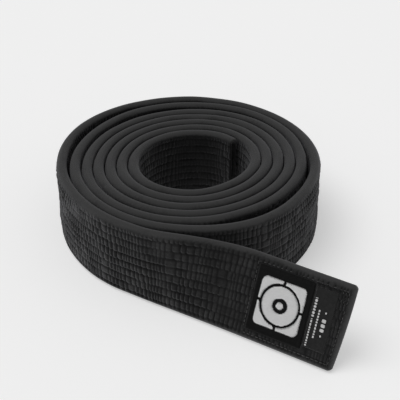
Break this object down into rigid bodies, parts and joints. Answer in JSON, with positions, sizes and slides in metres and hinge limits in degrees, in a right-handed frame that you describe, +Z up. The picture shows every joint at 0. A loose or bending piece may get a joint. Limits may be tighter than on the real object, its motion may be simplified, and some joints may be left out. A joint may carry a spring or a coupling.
{
  "type": "rolled martial arts belt",
  "caption": "Black quilted cotton martial arts belt, rolled into a flat coil standing on its edge, with its labelled end swung out of the roll.",
  "frame": {"origin": "on the ground, under the centre of the bounding box", "axes": "+Z up along the belt's width, -Y towards the side where the labelled end lies, +X to the right of it"},
  "size_m": [0.172, 0.2248, 0.0487],
  "materials": {
    "cotton": "quilted cotton cover, matt",
    "core": "plain cotton ply",
    "thread": "sewing thread",
    "embroidery": "satin-stitch embroidery",
    "print": "light printed ink on the label",
    "label": "woven label",
    "satin": "satin label"
  },
  "bodies": {
    "coil": {"core_ply_1_coil": "core", "core_ply_2_coil": "core", "core_ply_3_coil": "core", "cover_coil": "cotton", "end_flap_inner": "cotton", "inner_end_stitch_1": "thread", "inner_end_stitch_2": "thread", "stitch_row_1_coil": "thread", "stitch_row_2_coil": "thread", "stitch_row_3_coil": "thread", "stitch_row_4_coil": "thread", "stitch_row_5_coil": "thread", "stitch_row_6_coil": "thread", "stitch_row_7_coil": "thread", "stitch_row_8_coil": "thread", "stitch_row_9_coil": "thread"},
    "free_end": {"core_ply_1_free_end": "core", "core_ply_2_free_end": "core", "core_ply_3_free_end": "core", "cover_free_end": "cotton", "emblem_corner_1": "embroidery", "emblem_corner_2": "embroidery", "emblem_corner_3": "embroidery", "emblem_corner_4": "embroidery", "emblem_disc": "embroidery", "emblem_eye": "embroidery", "end_flap_labelled": "cotton", "label_border_stitch": "thread", "label_ground": "label", "print_bar_1": "print", "print_bar_2": "print", "print_bar_3": "print", "print_dot_1": "print", "print_dot_2": "print", "size_label": "satin", "stitch_row_1_free_end": "thread", "stitch_row_2_free_end": "thread", "stitch_row_3_free_end": "thread", "stitch_row_4_free_end": "thread", "stitch_row_5_free_end": "thread", "stitch_row_6_free_end": "thread", "stitch_row_7_free_end": "thread", "stitch_row_8_free_end": "thread", "stitch_row_9_free_end": "thread"}
  },
  "joints": [
    {"name": "free_end_swing", "type": "hinge", "parent": "coil", "child": "free_end", "pos_m": [-0.04122, -0.04355, 0], "axis": [0, 0, 1], "range_deg": [-60, 0]}
  ]
}
